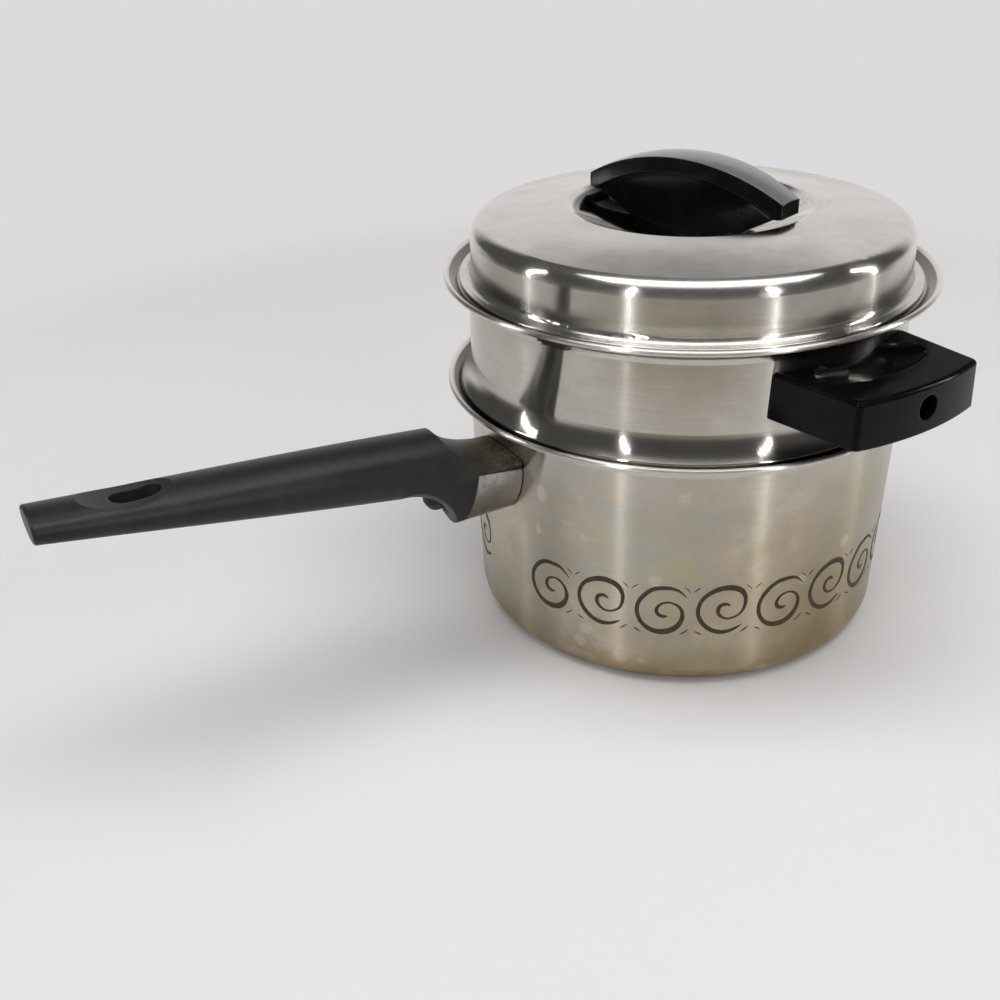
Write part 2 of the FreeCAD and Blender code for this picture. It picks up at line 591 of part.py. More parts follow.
def oval_joint(half_width, half_depth, inset="0"):
    """Where the arcs of an oval meet, across and up from its middle, set in from its outside."""
    side, broad = oval_radii(half_width, half_depth)
    share = "((%s - %s) / (%s - %s))" % (broad, inset, broad, side)
    across = "((%s - %s) * %s)" % (half_width, side, share)
    up = "(%s - %s + (%s - %s) * %s)" % (half_depth, broad, broad, half_depth, share)
    return across, up


def draw_oval(sketch, half_width, half_depth, height):
    """A whole oval, standing with its middle at a height."""
    side, broad = oval_radii(half_width, half_depth)
    across, up = oval_joint(half_width, half_depth)
    draw_outline(sketch, [
        (across, "%s - %s" % (height, up), side, 1),
        (across, "%s + %s" % (height, up), broad, 1),
        ("-" + across, "%s + %s" % (height, up), side, 1),
        ("-" + across, "%s - %s" % (height, up), broad, 1),
    ])


def axis_height(reach):
    """Height of the grip's sloped middle line at a reach from the pan's wall."""
    return "(handle_height + (%s - neck_reach) * grip_slope)" % reach


def keel_depth(reach):
    """Depth of the collar under its mould line, which runs along the grip, at a reach."""
    return "(collar_depth - collar_drop + (%s - neck_reach) * grip_slope)" % reach


def draw_keel(sketch, half_width, depth, low, inset="0"):
    """The collar's section: half an oval under the mould line, and a cap sunk in the grip."""
    side, broad = oval_radii(half_width, depth)
    across, up = oval_joint(half_width, depth, inset)
    half = "(%s - %s)" % (half_width, inset)
    line = "(%s + %s)" % (low, depth)
    draw_outline(sketch, [
        ("-" + half, line, "%s - %s" % (side, inset), 1),
        ("-" + across, "%s - %s" % (line, up), "%s - %s" % (broad, inset), 1),
        (across, "%s - %s" % (line, up), "%s - %s" % (side, inset), 1),
        (half, line),
        ("0.8 * " + half, line + " + 1.5 * collar_drop"),
        ("-0.8 * " + half, line + " + 1.5 * collar_drop"),
    ])


def draw_guard(sketch, reach):
    """The flame guard's section: a strip along the collar's outside, up to the mould line."""
    depth = keel_depth(reach)
    line = "(collar_bottom + %s)" % depth
    side, broad = oval_radii("collar_width", depth)
    across, up = oval_joint("collar_width", depth)
    inner_across, inner_up = oval_joint("collar_width", depth, "guard_metal")
    draw_outline(sketch, [
        ("-collar_width", line, side, 1),
        ("-" + across, "%s - %s" % (line, up), broad, 1),
        (across, "%s - %s" % (line, up), side, 1),
        ("collar_width", line),
        ("collar_width - guard_metal", line, side + " - guard_metal", -1),
        (inner_across, "%s - %s" % (line, inner_up), broad + " - guard_metal", -1),
        ("-" + inner_across, "%s - %s" % (line, inner_up), side + " - guard_metal", -1),
        ("guard_metal - collar_width", line),
    ])


def loft(body, name, sketches):
    """A smooth solid through the sketches."""
    feature = body.newObject("PartDesign::AdditiveLoft", name)
    feature.Profile = sketches[0]
    feature.Sections = sketches[1:]


def wall_strip(low, high, inner, outer):
    """A strip along the saucepan's leaning wall, between two distances from it."""
    return [
        ("%s + %s" % (pan_wall(low), inner), low),
        ("%s + %s" % (pan_wall(low), outer), low),
        ("%s + %s" % (pan_wall(high), outer), high),
        ("%s + %s" % (pan_wall(high), inner), high),
    ]


def cut_to_wall(body, name, low, high):
    """Cuts a handle piece to the lean of the saucepan's wall, with the wall gap."""
    hollow = new_sketch(body, name, "XZ_Plane")
    draw_outline(hollow, wall_strip(low, high, "-20", "wall_gap"))
    revolve(body, hollow, kind="Groove")


def draw_slot(sketch, place, length, width):
    """A slot with round ends, lying along the sketch's first axis."""
    half = "(%s / 2)" % width
    reach = "((%s - %s) / 2)" % (length, width)
    draw_outline(sketch, [
        ("%s - %s" % (place, reach), "-" + half),
        ("%s + %s" % (place, reach), "-" + half, half, 1),
        ("%s + %s + %s" % (place, reach, half), "0", half, 1),
        ("%s + %s" % (place, reach), half),
        ("%s - %s" % (place, reach), half, half, 1),
        ("%s - %s - %s" % (place, reach, half), "0", half, 1),
    ])


def make_handle_grip():
    body = new_body("handle_grip", turn="handle_turn")
    stations = [
        ("root", "(-4)", "grip_root_width", "grip_root_depth"),
        ("neck", "neck_reach", "grip_neck_width", "grip_neck_depth"),
        ("palm", "(neck_reach + 0.26 * (handle_length - neck_reach))", "grip_palm_width", "grip_palm_depth"),
        ("waist", "(neck_reach + 0.62 * (handle_length - neck_reach))", "grip_waist_width", "grip_waist_depth"),
        ("end", "handle_length", "grip_end_width", "grip_end_depth"),
    ]
    ovals = []
    for name, reach, half_width, half_depth in stations:
        oval = new_sketch(body, "grip_" + name, "YZ_Plane", out="handle_root + " + reach)
        draw_oval(oval, half_width, half_depth, axis_height(reach))
        ovals.append(oval)
    loft(body, "grip_loft", ovals)

    collar = []
    for name, reach in (("collar_root", "(-4)"), ("collar_end", "collar_reach")):
        keel = new_sketch(body, name, "YZ_Plane", out="handle_root + " + reach)
        draw_keel(keel, "collar_width", keel_depth(reach), "collar_bottom")
        collar.append(keel)
    loft(body, "collar_loft", collar)
    lip = new_sketch(body, "collar_lip", "YZ_Plane", out="collar_length")
    draw_keel(lip, "collar_width", keel_depth("collar_reach"), "collar_bottom")
    middle_reach = "(0.65 * collar_reach + 0.35 * (neck_reach + 4))"
    flank = new_sketch(body, "collar_flank", "YZ_Plane", out="handle_root + " + middle_reach)
    flank_depth = "(0.84 * %s)" % keel_depth(middle_reach)
    draw_keel(flank, "collar_width", flank_depth, "(collar_bottom + 0.16 * %s)" % keel_depth(middle_reach))
    fade = new_sketch(body, "collar_fade", "YZ_Plane", out="handle_neck + 4")
    fade_depth = "(0.93 * (grip_neck_depth - collar_drop))"
    draw_keel(fade, "(0.95 * grip_neck_width)", fade_depth,
              "(%s - collar_drop - %s)" % (axis_height("(neck_reach + 4)"), fade_depth))
    loft(body, "collar_blend", [lip, flank, fade])

    relief = new_sketch(body, "grip_guard_relief", "XZ_Plane")
    back = "handle_root - 10"
    below = "collar_bottom - 20"
    end_line = "(collar_bottom + %s + fit_gap)" % keel_depth("guard_reach")
    draw_outline(relief, [
        (back, below),
        ("guard_length + fit_gap + (%s - (%s)) * grip_slope" % (end_line, below), below),
        ("guard_length + fit_gap", end_line),
        (back, "collar_bottom + %s + fit_gap" % keel_depth("(-10)")),
    ])
    extrude(body, relief, "4 * collar_width", "Pocket", both=True)
    core = []
    for name, reach in (("core_root", "(-4)"), ("core_end", "(guard_reach + 5)")):
        keel = new_sketch(body, name, "YZ_Plane", out="handle_root + " + reach)
        draw_keel(keel, "collar_width", keel_depth(reach), "collar_bottom", "(guard_metal + fit_gap)")
        core.append(keel)
    loft(body, "core_loft", core)

    hollow_place = "(handle_neck + 4)"
    hollow_drop = "sqrt(underside_bend^2 - (%s - collar_length)^2)" % hollow_place
    hollow_top = "collar_bottom - %s + underside_bend" % hollow_drop
    underside = new_sketch(body, "grip_underside", "XZ_Plane", up=hollow_top + " + underside_crown")
    draw_circle(underside, hollow_place, "-(underside_crown + underside_bend)", "underside_bend")
    revolve(body, underside, "H_Axis", "Groove", angle="150")

    scoop = new_sketch(body, "grip_scoop", "YZ_Plane", out="handle_root", up="scoop_floor + scoop_radius")
    half = "(1.5 * collar_width)"
    edge = "-(scoop_radius + scoop_crown - sqrt(scoop_crown^2 - %s^2))" % half
    draw_outline(scoop, [
        (half, "0"),
        ("-" + half, "0"),
        ("-" + half, edge, "scoop_crown", -1),
        (half, edge),
    ])
    revolve(body, scoop, "H_Axis", "Groove", angle="150")

    waist = "(handle_neck + 0.62 * (handle_end - handle_neck))"
    thinning = "((hang_hole_place - %s) / (handle_end - %s))" % (waist, waist)
    crown = "(handle_height + (hang_hole_place - handle_neck) * grip_slope + grip_waist_depth"
    crown += " - (grip_waist_depth - grip_end_depth) * %s)" % thinning
    recess = new_sketch(body, "grip_hang_recess", "XZ_Plane")
    draw_circle(recess, "hang_hole_place", crown + " - hang_recess + hang_recess_radius", "hang_recess_radius")
    extrude(body, recess, "4 * collar_width", "Pocket", both=True)
    slot = new_sketch(body, "grip_hang_hole", "XY_Plane", out=crown + " + 2")
    draw_slot(slot, "hang_hole_place", "hang_hole_length", "hang_hole_width")
    extrude(body, slot, "4 * grip_waist_depth", "Pocket")

    boss = new_sketch(body, "grip_boss", "XY_Plane", out="handle_boss_face")
    draw_circle(boss, "handle_screw_place", "0", "handle_boss_radius")
    extrude(body, boss, "tang_top - handle_boss_face")
    spot_face = new_sketch(body, "grip_spot_face", "XY_Plane", out="handle_boss_face")
    draw_circle(spot_face, "handle_screw_place", "0", "handle_boss_radius")
    extrude(body, spot_face, "handle_boss_face - collar_bottom + 5", "Pocket")
    socket = new_sketch(body, "grip_tang_socket", "YZ_Plane", out="handle_root - 5")
    draw_outline(socket, box_outline("-tang_width - fit_gap", "tang_bottom - fit_gap",
                                     "tang_width + fit_gap", "tang_top + fit_gap"))
    extrude(body, socket, "tang_reach + fit_gap + 5", "Pocket", reverse=True)
    bore = new_sketch(body, "grip_screw_bore", "XY_Plane", out="handle_boss_face - 1")
    draw_circle(bore, "handle_screw_place", "0", "handle_screw_shank + screw_clearance")
    extrude(body, bore, "tang_bottom - handle_boss_face + 2", "Pocket", reverse=True)

    plate = new_sketch(body, "grip_plate_relief", "XZ_Plane")
    draw_outline(plate, wall_strip("bracket_low - wall_gap", "tang_top + wall_gap", "-2",
                                   "fit_gap + bracket_metal + wall_gap"))
    revolve(body, plate, kind="Groove", angle="2 * bracket_half_angle + 1")
    cut_to_wall(body, "grip_wall_cut", "collar_bottom - 5", "guard_top + 20")

    def end_rim(edge):
        spot = middle(edge)
        return spot.x > number("handle_end") - 0.01
    round_edges(body, "grip_end_rounding", "grip_end_round", end_rim)
    return body


def make_flame_guard():
    body = new_body("flame_guard", turn="handle_turn")
    sections = []
    for name, reach in (("guard_root", "(-4)"), ("guard_tail", "(guard_reach + 6)")):
        section = new_sketch(body, name, "YZ_Plane", out="handle_root + " + reach)
        draw_guard(section, reach)
        sections.append(section)
    loft(body, "guard_loft", sections)
    end = new_sketch(body, "guard_end", "XZ_Plane")
    line = "(collar_bottom + %s)" % keel_depth("guard_reach")
    draw_outline(end, [
        ("guard_length - 5 * grip_slope", line + " + 5"),
        ("guard_length + (%s - collar_bottom + 5) * grip_slope" % line, "collar_bottom - 5"),
        ("guard_length + 30", "collar_bottom - 5"),
        ("guard_length + 30", line + " + 5"),
    ])
    extrude(body, end, "4 * collar_width", "Pocket", both=True)
    cut_to_wall(body, "guard_wall_cut", "collar_bottom - 5", "guard_top + 5")
    return body


def make_handle_bracket():
    body = new_body("handle_bracket", turn="handle_turn")
    plate = new_sketch(body, "bracket_plate", "XZ_Plane")
    draw_outline(plate, wall_strip("bracket_low", "tang_top", "fit_gap", "fit_gap + bracket_metal"))
    revolve(body, plate, angle="2 * bracket_half_angle")
    start = pan_wall("tang_top") + " + fit_gap + bracket_metal / 2"
    tang = new_sketch(body, "bracket_tang", "YZ_Plane", out=start)
    draw_outline(tang, box_outline("-tang_width", "tang_bottom", "tang_width", "tang_top"))
    extrude(body, tang, "tang_end - (%s)" % start)
    bore = new_sketch(body, "bracket_bore", "XY_Plane", out="tang_top + 1")
    draw_circle(bore, "handle_screw_place", "0", "handle_screw_shank + fit_gap")
    extrude(body, bore, "tang_thickness + 2", "Pocket")
    return body


def make_handle_fixings():
    washer_top = "(handle_boss_face - fit_gap)"
    head_top = "(%s - washer_thickness - fit_gap)" % washer_top
    return [
        make_turned("handle_lock_washer", box_outline(
            "handle_screw_shank + fit_gap", washer_top + " - washer_thickness",
            "handle_screw_head + 0.5", washer_top),
            turn="handle_turn", along="handle_screw_place"),
        make_turned("handle_screw", [
            ("0", head_top + " - handle_screw_head_height"),
            ("handle_screw_head * 0.7", head_top + " - handle_screw_head_height",
             "handle_screw_head_height * 1.4", 1),
            ("handle_screw_head", head_top),
            ("handle_screw_shank", head_top),
            ("handle_screw_shank", "tang_top - fit_gap"),
            ("0", "tang_top - fit_gap"),
        ], turn="handle_turn", along="handle_screw_place"),
    ]


def make_side_grip():
    body = new_body("side_handle_grip", turn="insert_turn")
    plan = new_sketch(body, "side_grip_plan", "XY_Plane", out="side_grip_bottom")
    root = "(insert_wall_radius * 0.88)"
    draw_outline(plan, [
        (root, "-side_grip_root"),
        ("side_grip_reach", "-side_grip_tip", "side_arc", 1),
        ("side_grip_reach", "side_grip_tip"),
        (root, "side_grip_root"),
    ])
    block = extrude(body, plan, "side_grip_height")
    block.setExpression("TaperAngle", formula("-side_grip_draft"))

    def upright_corner(edge):
        ends = [v.Point.z for v in edge.Vertexes]
        return abs(ends[0] - ends[-1]) > 5 and middle(edge).x > number("side_grip_reach") - 5
    round_edges(body, "side_grip_corners", "side_grip_corner", upright_corner)

    def top_edge(edge):
        spot = middle(edge)
        return spot.z > number("side_grip_top") - 0.01 and spot.x > number("insert_wall_radius")
    round_edges(body, "side_grip_top_edges", "side_grip_edge", top_edge)

    wall = new_sketch(body, "side_grip_wall_cut", "XZ_Plane")
    draw_outline(wall, box_outline("0", "side_grip_bottom - 5", "insert_wall_radius + wall_gap",
                                   "side_grip_top + 5"))
    revolve(body, wall, kind="Groove")
    plate = new_sketch(body, "side_grip_plate_relief", "XZ_Plane")
    draw_outline(plate, box_outline("insert_wall_radius - 2", "side_screw_height - stud_plate_half_height - wall_gap",
                                    "insert_wall_radius + fit_gap + stud_plate_metal + wall_gap",
                                    "side_screw_height + stud_plate_half_height + wall_gap"))
    revolve(body, plate, kind="Groove", angle="2 * stud_plate_half_angle + 1")

    bore = new_sketch(body, "side_grip_bore", "XZ_Plane", up="side_screw_height")
    draw_outline(bore, [
        ("insert_wall_radius - 2", "0"),
        ("side_grip_reach + 10", "0"),
        ("side_grip_reach + 10", "side_bore_radius"),
        ("side_bore_floor", "side_bore_radius"),
        ("side_bore_floor", "side_screw_shank + screw_clearance"),
        ("stud_end + fit_gap", "side_screw_shank + screw_clearance"),
        ("stud_end + fit_gap", "stud_radius + fit_gap"),
        ("insert_wall_radius - 2", "stud_radius + fit_gap"),
    ])
    revolve(body, bore, "H_Axis", "Groove")

    finger = body.newObject("PartDesign::SubtractiveEllipsoid", "side_grip_finger_hollow")
    finger.setExpression("Radius1", formula("finger_depth"))
    finger.setExpression("Radius2", formula("finger_width"))
    finger.setExpression("Radius3", formula("finger_length"))
    finger.setExpression("Placement.Base.x", formula("finger_place"))
    finger.setExpression("Placement.Base.z", formula("side_grip_top"))
    return body


def make_side_bracket():
    body = new_body("side_handle_bracket", turn="insert_turn")
    plate = new_sketch(body, "stud_plate", "XZ_Plane")
    draw_outline(plate, box_outline("insert_wall_radius + fit_gap", "side_screw_height - stud_plate_half_height",
                                    "insert_wall_radius + fit_gap + stud_plate_metal",
                                    "side_screw_height + stud_plate_half_height"))
    revolve(body, plate, angle="2 * stud_plate_half_angle")
    stud = new_sketch(body, "stud_profile", "XZ_Plane", up="side_screw_height")
    start = "insert_wall_radius + fit_gap + stud_plate_metal / 2"
    draw_outline(stud, box_outline(start, "0", "stud_end", "stud_radius"))
    revolve(body, stud, "H_Axis")
    bore = new_sketch(body, "stud_bore", "XZ_Plane", up="side_screw_height")
    draw_outline(bore, box_outline(start + " + 0.5", "0", "stud_end + 2", "side_screw_shank + fit_gap"))
    revolve(body, bore, "H_Axis", "Groove")
    return body


def make_side_fixings():
    washer = "(side_bore_floor + fit_gap)"
    head = "(%s + washer_thickness + fit_gap)" % washer
    return [
        make_turned("side_handle_washer", box_outline(
            washer, "side_screw_shank + fit_gap", washer + " + washer_thickness", "side_screw_head + 0.3"),
            turn="insert_turn", height="side_screw_height", axis="H_Axis"),
        make_turned("side_handle_screw", [
            ("insert_wall_radius + stud_plate_metal + 1", "0"),
            (head + " + side_screw_head_height", "0"),
            (head + " + side_screw_head_height", "side_screw_head * 0.7", "side_screw_head_height * 1.4", 1),
            (head, "side_screw_head"),
            (head, "side_screw_shank"),
            ("insert_wall_radius + stud_plate_metal + 1", "side_screw_shank"),
        ], turn="insert_turn", height="side_screw_height", axis="H_Axis"),
    ]


PIECES = [
    make_saucepan(),
    make_handle_bracket(),
    make_flame_guard(),
    make_handle_grip(),
    *make_handle_fixings(),
    make_insert(),
    make_side_bracket(),
    make_side_grip(),
    *make_side_fixings(),
    make_lid(),
    make_knob(),
    *make_lid_fixings(),
]

doc.recompute()
for item in doc.Objects:
    if "Invalid" in item.State or "Error" in item.State:
        raise RuntimeError("%s is not sound: %s" % (item.Name, item.State))
for piece in PIECES:
    if piece.Shape.isNull() or not piece.Shape.isValid():
        raise RuntimeError(piece.Label + " has no valid shape")
    piece.Shape.exportStep("parts/%s.step" % piece.Label)
    box = piece.Shape.optimalBoundingBox()
    print("%-20s volume %10.1f  x %.1f %.1f  y %.1f %.1f  z %.1f %.1f" % (
        piece.Label, piece.Shape.Volume, box.XMin, box.XMax, box.YMin, box.YMax, box.ZMin, box.ZMax))
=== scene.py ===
import math
import bpy
from mathutils import Matrix, Vector


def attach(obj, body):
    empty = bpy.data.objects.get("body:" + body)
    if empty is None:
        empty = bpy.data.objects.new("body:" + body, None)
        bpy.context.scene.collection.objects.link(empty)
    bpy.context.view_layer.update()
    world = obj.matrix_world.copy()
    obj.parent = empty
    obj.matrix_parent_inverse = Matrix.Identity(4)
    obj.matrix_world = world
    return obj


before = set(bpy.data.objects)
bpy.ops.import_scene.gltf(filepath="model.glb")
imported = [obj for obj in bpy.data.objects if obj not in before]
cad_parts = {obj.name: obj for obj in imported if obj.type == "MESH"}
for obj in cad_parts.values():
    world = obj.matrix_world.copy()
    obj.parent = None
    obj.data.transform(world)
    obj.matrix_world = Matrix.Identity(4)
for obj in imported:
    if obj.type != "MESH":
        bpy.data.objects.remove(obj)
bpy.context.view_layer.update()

# Double boiler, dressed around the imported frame. Metres, +Z up. The pans' axis is Z,
# and the long handle points along -X.

MM = 0.001
scene = bpy.context.scene
scene.view_settings.view_transform = "Standard"

# Sizes that the CAD model shares with the dressing, in millimetres
PAN_WALL = 83.5
PAN_WALL_TOP = 88.9
PAN_DRAFT = math.radians(1.6)
INSERT_FLARE_TOP = 104.8
INSERT_RIM = 129.4
LID_TOP = 157.5
DISH_RADIUS = 45.0
HANDLE_SCOOP = 80.0

# The rims' troughs, by the height and the radius where each starts, and the radii of the lips' satin zone
PAN_TROUGH = (PAN_WALL_TOP + 1.1, PAN_WALL + 2.0)
INSERT_TROUGH = (INSERT_RIM + 2.1, PAN_WALL + 2.3)
LIP_ZONE = (PAN_WALL + 6.0, PAN_WALL + 6.6)

# Level directions in x and y: to the photograph's right, and towards the camera
PHOTO_RIGHT = (0.87, -0.5)
PHOTO_FRONT = (-0.64, -0.77)

# Colours: linear red, green and blue, and alpha
LIGHT_STEEL = (0.66, 0.635, 0.59, 1)
DARK_STEEL = (0.58, 0.56, 0.52, 1)
TURNED_STEEL = (0.36, 0.34, 0.31, 1)
LIP_STEEL = (0.76, 0.73, 0.68, 1)
WARM_STEEL = (0.43, 0.40, 0.34, 1)
# Dark colour for painted shade in the rims' troughs, the painted reflection in the lid's dish, and the dome's
# scuffs
PAINTED_SHADE_AND_SCUFFS = (0.055, 0.05, 0.045, 1)
STRAW = (0.30, 0.215, 0.088, 1)
BURNT = (0.30, 0.20, 0.07, 1)
WATER_MARK = (0.70, 0.68, 0.60, 1)
DRIED_DRIP = (0.72, 0.70, 0.58, 1)
HANDLE_BLACK = (0.009, 0.010, 0.009, 1)
GLOSS_BLACK = (0.003, 0.003, 0.0035, 1)
KNOB_BLACK = (0.004, 0.004, 0.0045, 1)
WORN_EDGE = (0.045, 0.045, 0.045, 1)
# Dust on level phenolic faces, which on the knob's top also stands in as a painted sheen
DUST_AND_SHEEN = (0.26, 0.26, 0.26, 1)
SCOOP_FILM = (0.034, 0.030, 0.018, 1)
SCOOP_CRUST = (0.14, 0.12, 0.05, 1)
GUARD_STEEL = (0.36, 0.35, 0.33, 1)
ZINC = (0.52, 0.52, 0.50, 1)
BLACKENED_STEEL = (0.06, 0.06, 0.06, 1)
BRASS = (0.72, 0.52, 0.22, 1)
ETCHED_BROWN = (0.040, 0.030, 0.016, 1)
WORN_BROWN = (0.12, 0.095, 0.06, 1)
CLOTH = (0.80, 0.785, 0.795, 1)


class Tree:
    """A node tree, built node by node. A value is a number, a colour or another node's output."""

    def __init__(self, tree):
        self.nodes = tree.nodes
        self.links = tree.links

    def put(self, socket, value):
        if isinstance(value, bpy.types.NodeSocket):
            self.links.new(value, socket)
        else:
            socket.default_value = value

    def add(self, kind, inputs=(), **settings):
        node = self.nodes.new(kind)
        for name, value in settings.items():
            setattr(node, name, value)
        for name, value in dict(inputs).items():
            self.put(node.inputs[name], value)
        return node

    def math(self, operation, a, b=0.0, c=0.0):
        return self.add("ShaderNodeMath", {0: a, 1: b, 2: c}, operation=operation).outputs[0]

    def times(self, product, *others):
        for other in others:
            product = self.math("MULTIPLY", product, other)
        return product

    def span(self, value, middle, half):
        """How far a value lies from the middle, in half widths."""
        return self.math("DIVIDE", self.math("SUBTRACT", value, middle), half)

    def fit(self, value, low, high, to_low=0.0, to_high=1.0):
        """A smooth step of value from low..high to to_low..to_high."""
        node = self.add("ShaderNodeMapRange", {
            "Value": value, "From Min": low, "From Max": high, "To Min": to_low, "To Max": to_high},
            interpolation_type="SMOOTHSTEP")
        return node.outputs["Result"]

    def zone(self, value, low, high, to_low=0.0, to_high=1.0):
        """The same step, with low and high in millimetres."""
        return self.fit(value, low * MM, high * MM, to_low, to_high)

    def between(self, amount, a, b):
        """A number between two others."""
        return self.add("ShaderNodeMix", {"Factor": amount, 2: a, 3: b}, data_type="FLOAT").outputs[0]

    def blend(self, amount, a, b):
        """A colour between two others."""
        return self.add("ShaderNodeMix", {"Factor": amount, 6: a, 7: b}, data_type="RGBA").outputs[2]

    def dot(self, a, b):
        return self.add("ShaderNodeVectorMath", {0: a, 1: b}, operation="DOT_PRODUCT").outputs["Value"]

    def length(self, x, y):
        flat = self.add("ShaderNodeCombineXYZ", {0: x, 1: y}).outputs[0]
        return self.add("ShaderNodeVectorMath", {0: flat}, operation="LENGTH").outputs["Value"]


class Graph(Tree):
    """One procedural material, with its place in the shared frame and the radius about the pans' axis."""

    def __init__(self, name):
        self.material = bpy.data.materials.new(name)
        self.material.use_nodes = True
        super().__init__(self.material.node_tree)
        self.shader = self.nodes["Principled BSDF"]
        self.coords = self.add("ShaderNodeTexCoord").outputs["Object"]
        self.x, self.y, self.z = self.add("ShaderNodeSeparateXYZ", {0: self.coords}).outputs
        self.radius = self.length(self.x, self.y)

    def along(self, way):
        """How far a point lies along a level direction."""
        return self.math("MULTIPLY_ADD", self.x, way[0], self.times(self.y, way[1]))

    def noise(self, scale, detail=3.0, roughness=0.5, vector=None):
        node = self.add("ShaderNodeTexNoise", {
            "Vector": vector or self.coords, "Scale": scale, "Detail": detail, "Roughness": roughness})
        return node.outputs["Fac"]

    def ramp(self, value, stops):
        """A colour for each value, between the stops."""
        node = self.add("ShaderNodeValToRGB", {"Fac": value})
        elements = node.color_ramp.elements
        while len(elements) < len(stops):
            elements.new(0.5)
        for element, (position, colour) in zip(elements, stops):
            element.position = position
            element.color = colour
        return node.outputs["Color"]

    def bump(self, height, strength, distance, normal=None):
        node = self.add("ShaderNodeBump", {"Height": height, "Strength": strength, "Distance": distance})
        if normal:
            self.put(node.inputs["Normal"], normal)
        return node.outputs["Normal"]

    def surface(self, **values):
        """Sets the shader's sockets, with underscores for the spaces in their names."""
        for name, value in values.items():
            self.put(self.shader.inputs[name.replace("_", " ")], value)
        return self.material


def scaled(colour, share):
    """A colour made lighter or darker."""
    return [part * share for part in colour[:3]] + [1]


# Steel: pitch of the fine and the coarse turning lines in millimetres, how often they break up round
# the axis, what smears and lines add to the roughness, and the roughness of the scratches and lips
FINE_PITCH = 0.25
COARSE_PITCH = 0.6
LINE_WAVES = 6.0
SMEAR_ROUGH = 0.06
LINE_ROUGH = 0.04
SCRATCH_ROUGH = 0.25
LIP_ROUGH = 0.32


def spun_lines(graph, pitch):
    """Fine turning lines that run round the pans' axis."""
    around = graph.math("ARCTAN2", graph.y, graph.x)
    vector = graph.add("ShaderNodeCombineXYZ", {
        0: graph.times(graph.radius, 1 / (pitch * MM)),
        1: graph.times(graph.z, 1 / (pitch * MM)),
        2: graph.times(around, LINE_WAVES)})
    return graph.noise(1.0, detail=2.0, vector=vector.outputs[0])


def steel(graph, polished, bright, satin, turned, brushed, painted_shade_and_scuffs, tint=None):
    """Spun stainless steel: a satin ground, brushed lines that spread light up and down, and satin lips.

    polished is where the metal is polished, bright and satin are the roughness there and elsewhere,
    turned is how much the turning marks darken it, brushed is the share that is scratched,
    painted_shade_and_scuffs is where painted shade, a painted reflection and scuffs darken it, and tint
    changes the bare metal's colour."""
    smear = graph.noise(scale=60.0, detail=4.0, roughness=0.6)
    lip = graph.zone(graph.radius, *LIP_ZONE)
    colour = graph.blend(graph.fit(smear, 0.35, 0.7), LIGHT_STEEL, DARK_STEEL)
    if tint:
        colour = tint(graph, colour)
    marks = graph.fit(spun_lines(graph, COARSE_PITCH), 0.3, 0.7, 0.0, turned)
    colour = graph.blend(marks, colour, TURNED_STEEL)
    # Painted shade, a painted reflection and scuffs darken the colour here
    colour = graph.blend(painted_shade_and_scuffs, colour, PAINTED_SHADE_AND_SCUFFS)
    colour = graph.blend(lip, colour, LIP_STEEL)

    rough = graph.math("MULTIPLY_ADD", smear, SMEAR_ROUGH, satin - (SMEAR_ROUGH + LINE_ROUGH) / 2)
    rough = graph.math("MULTIPLY_ADD", spun_lines(graph, FINE_PITCH), LINE_ROUGH, rough)
    grain = graph.add("ShaderNodeTexWhiteNoise", {"Vector": graph.coords}).outputs["Value"]
    rough = graph.between(graph.math("LESS_THAN", grain, brushed), rough, SCRATCH_ROUGH)
    rough = graph.between(polished, rough, bright)
    rough = graph.between(lip, rough, LIP_ROUGH)
    tangent = graph.add("ShaderNodeTangent", direction_type="RADIAL", axis="Z").outputs[0]
    return graph.surface(
        Base_Color=colour, Metallic=1.0, Roughness=rough,
        Anisotropic=1.0, Anisotropic_Rotation=0.25, Tangent=tangent)


# How dark the painted shade in the rims' troughs is, and over how many millimetres it sets in
TROUGH_SHADE = 0.85
TROUGH_EDGE = 1.0


def trough_painted_shade(graph, trough):
    """Painted shade in a rim's trough, deep enough to stand in for a deeper trough than the CAD model's."""
    height, radius = trough
    return graph.times(
        graph.zone(graph.z, height, height + TROUGH_EDGE),
        graph.zone(graph.radius, radius, radius + TROUGH_EDGE), TROUGH_SHADE)


# Colours of the thin heat film on the saucepan's wall, along its thickness, and the least thickness
FILM = [
    (0.30, (0.48, 0.39, 0.20, 1)), (0.42, (0.62, 0.59, 0.50, 1)), (0.50, (0.56, 0.48, 0.36, 1)),
    (0.57, (0.46, 0.48, 0.45, 1)), (0.64, (0.54, 0.54, 0.38, 1)), (0.75, (0.52, 0.43, 0.24, 1))]
FILM_LEAST = -0.12

# Where each heat colour sets in, by height or across the photograph in millimetres, and the burnt share
FILM_HEIGHTS = (92.0, 70.0)
STRAW_HEIGHTS = (90.0, 10.0)
STRAW_ACROSS = (-60.0, 50.0)
BURNT_HEIGHTS = (20.0, 1.5)
BURNT_SHARE = 0.9


